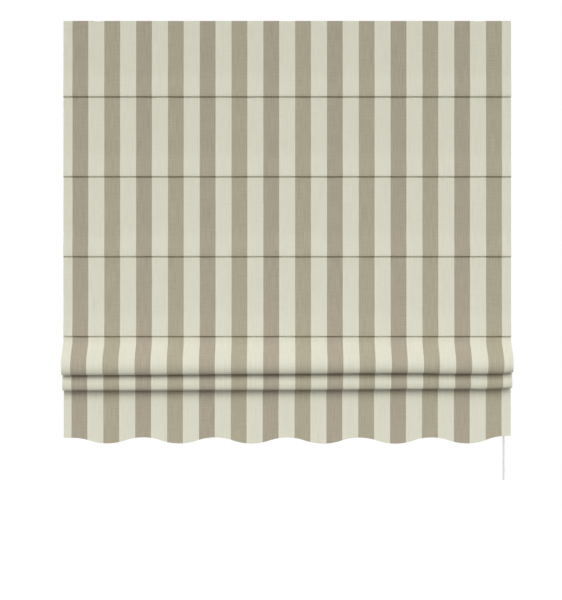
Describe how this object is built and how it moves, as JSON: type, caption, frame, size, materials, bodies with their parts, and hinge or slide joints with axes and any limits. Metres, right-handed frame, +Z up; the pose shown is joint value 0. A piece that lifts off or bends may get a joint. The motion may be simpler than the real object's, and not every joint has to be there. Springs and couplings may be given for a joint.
{
  "type": "roman blind",
  "caption": "Roman blind with a striped cloth, a scalloped foot, two gathered folds, a headrail with cord drums and a bead chain.",
  "frame": {"origin": "middle screw hole, in the top face of the middle bracket", "axes": "+X along the rail to the viewer's right, +Y back from the cloth towards the window side, +Z up"},
  "size_m": [1.4, 0.1008, 1.4409],
  "materials": {
    "cloth": "woven lined cloth with beige stripes",
    "tape": "hook and loop tape",
    "rail": "white powder coat on an aluminium profile",
    "bracket_steel": "zinc plated sheet",
    "cap": "moulded, fine grain",
    "works": "moulded, fine grain",
    "shaft_metal": "mill finish",
    "spring_steel": "spring steel wire",
    "rod": "white glass fibre",
    "bar": "mill finish",
    "clip": "moulded, pale translucent",
    "cord": "braided cord",
    "chain": "moulded white beads"
  },
  "bodies": {
    "root": {"cloth": "cloth", "loop_tape": "tape", "hook_tape": "tape", "headrail": "rail", "brackets": "bracket_steel", "end_cap": "cap", "drive_cover": "cap", "drive_housing": "cap", "cradles": "works", "brake_core": "works", "lift_cord_1": "cord", "lift_cord_2": "cord", "lift_cord_3": "cord", "lift_cord_4": "cord", "control_chain": "chain", "chain_connector": "chain"},
    "drive": {"shaft": "shaft_metal", "spools": "works", "cord_turns": "cord", "chain_wheel": "works", "brake_spring": "spring_steel"},
    "rod_1_body": {"rod_1": "rod", "rod_clips_1": "clip"},
    "rod_2_body": {"rod_2": "rod", "rod_clips_2": "clip"},
    "rod_3_body": {"rod_3": "rod", "rod_clips_3": "clip"},
    "gathered_body": {"rod_4": "rod", "rod_clips_4": "clip", "rod_5": "rod", "rod_clips_5": "clip", "bottom_bar": "bar", "cord_locks": "clip"}
  },
  "joints": [
    {"name": "lift_1", "type": "slide", "parent": "root", "child": "rod_1_body", "axis": [0, 0, 1], "range_m": [0, 0.19], "deforming": ["cloth", "lift_cord_1", "lift_cord_2", "lift_cord_3", "lift_cord_4"]},
    {"name": "lift_2", "type": "slide", "parent": "rod_1_body", "child": "rod_2_body", "axis": [0, 0, 1], "range_m": [0, 0.2]},
    {"name": "lift_3", "type": "slide", "parent": "rod_2_body", "child": "rod_3_body", "axis": [0, 0, 1], "range_m": [0, 0.2]},
    {"name": "lift_4", "type": "slide", "parent": "rod_3_body", "child": "gathered_body", "axis": [0, 0, 1], "range_m": [0, 0.2]},
    {"name": "drive_turn", "type": "hinge", "parent": "root", "child": "drive", "pos_m": [0, 0, -0.0231], "axis": [-1, 0, 0], "range_deg": [0, 3771.97], "deforming": ["control_chain"]}
  ],
  "couplings": [
    {"joint": "lift_2", "follows": "lift_1", "ratio": 1.0526},
    {"joint": "lift_3", "follows": "lift_1", "ratio": 1.0526},
    {"joint": "lift_4", "follows": "lift_1", "ratio": 1.0526},
    {"joint": "drive_turn", "follows": "lift_1", "rad_per_m": 346.49}
  ]
}
